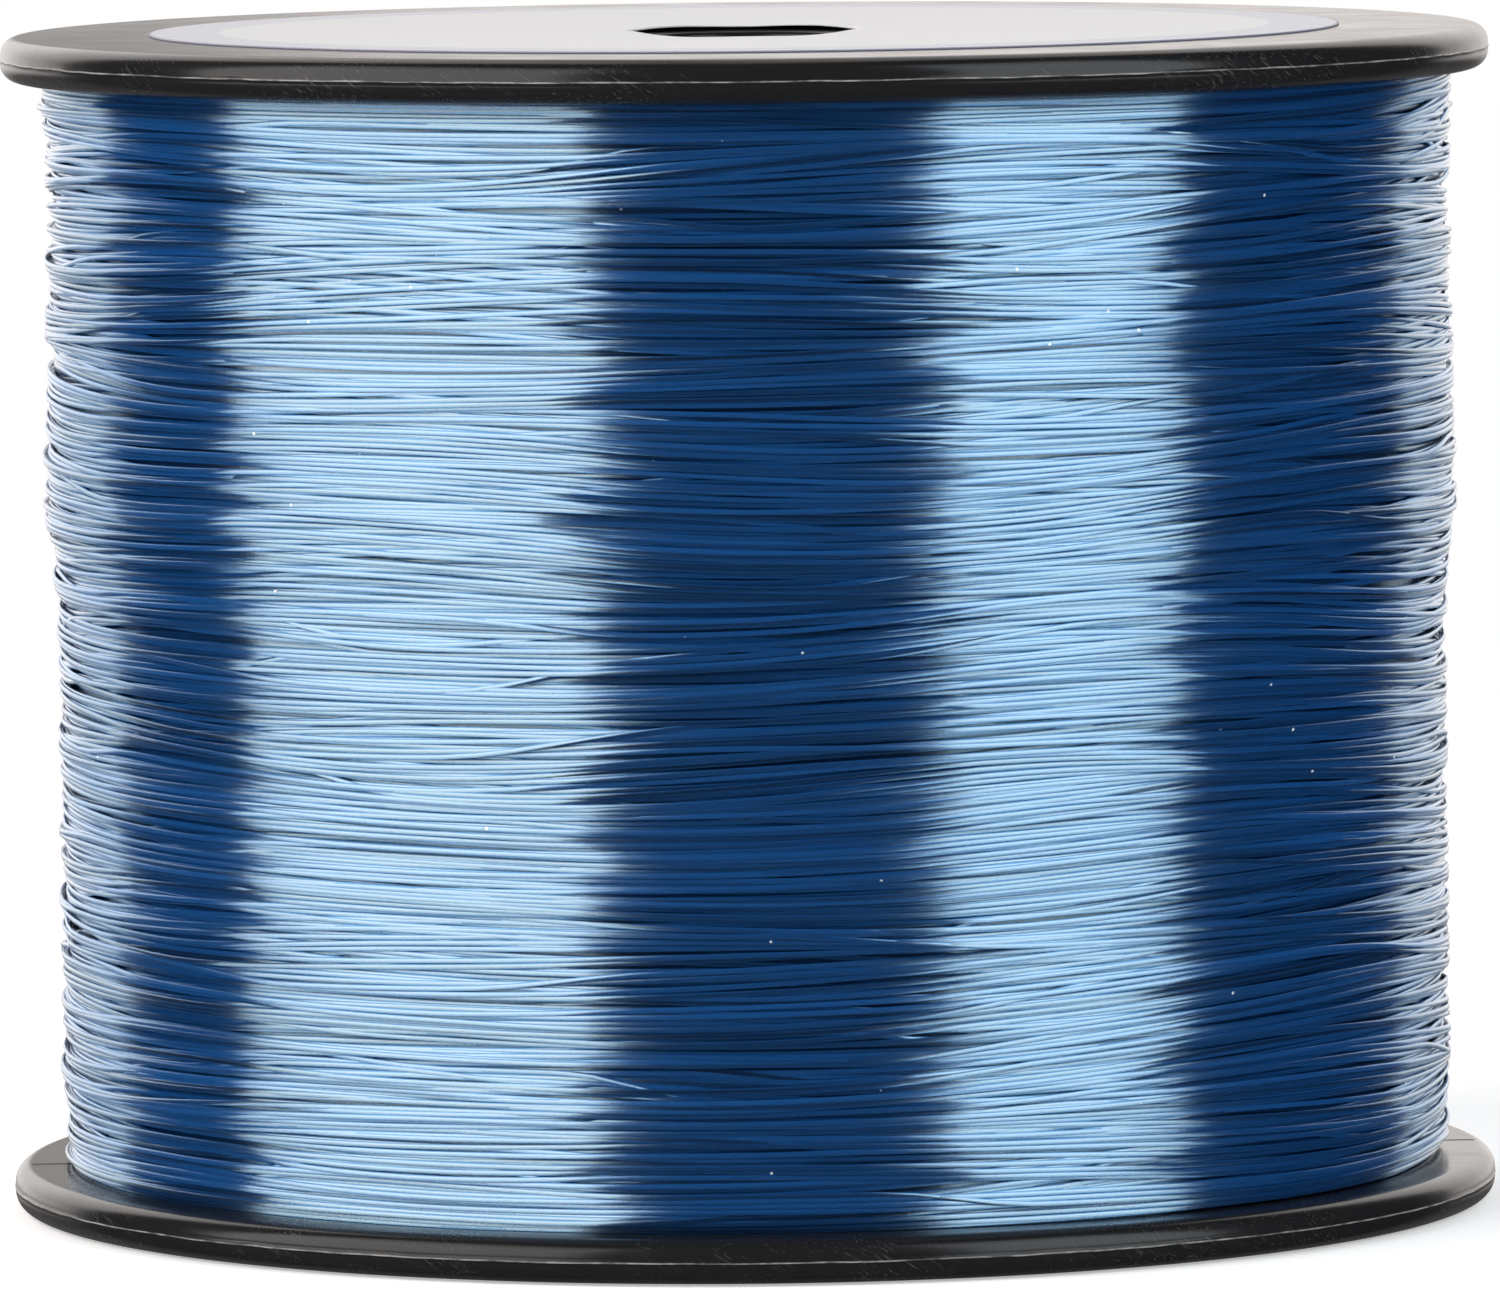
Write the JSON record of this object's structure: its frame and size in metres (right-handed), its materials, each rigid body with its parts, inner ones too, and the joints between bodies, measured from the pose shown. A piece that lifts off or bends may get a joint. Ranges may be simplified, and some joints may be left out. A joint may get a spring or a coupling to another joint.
{
  "type": "fishing line spool",
  "caption": "Flanged plastic spool wound full with blue translucent monofilament line, with a round paper label on each end and a bore for a rod.",
  "frame": {"origin": "on the arbor axis, at the face that the spool stands on (the lower label's outer face)", "axes": "+Z along the arbor axis from the lower flange to the upper one; +X and +Y are two rib directions of the hub"},
  "size_m": [0.1102, 0.1102, 0.0871],
  "materials": {
    "black_plastic": "gloss moulded polystyrene, lightly scuffed",
    "blue_nylon_line": "translucent drawn nylon",
    "label_paper": "coated paper, satin",
    "clear_tape": "film tape"
  },
  "bodies": {
    "root": {"spool_body": "black_plastic", "line_pack": "blue_nylon_line", "upper_label": "label_paper", "lower_label": "label_paper", "start_tape": "clear_tape"}
  },
  "joints": []
}
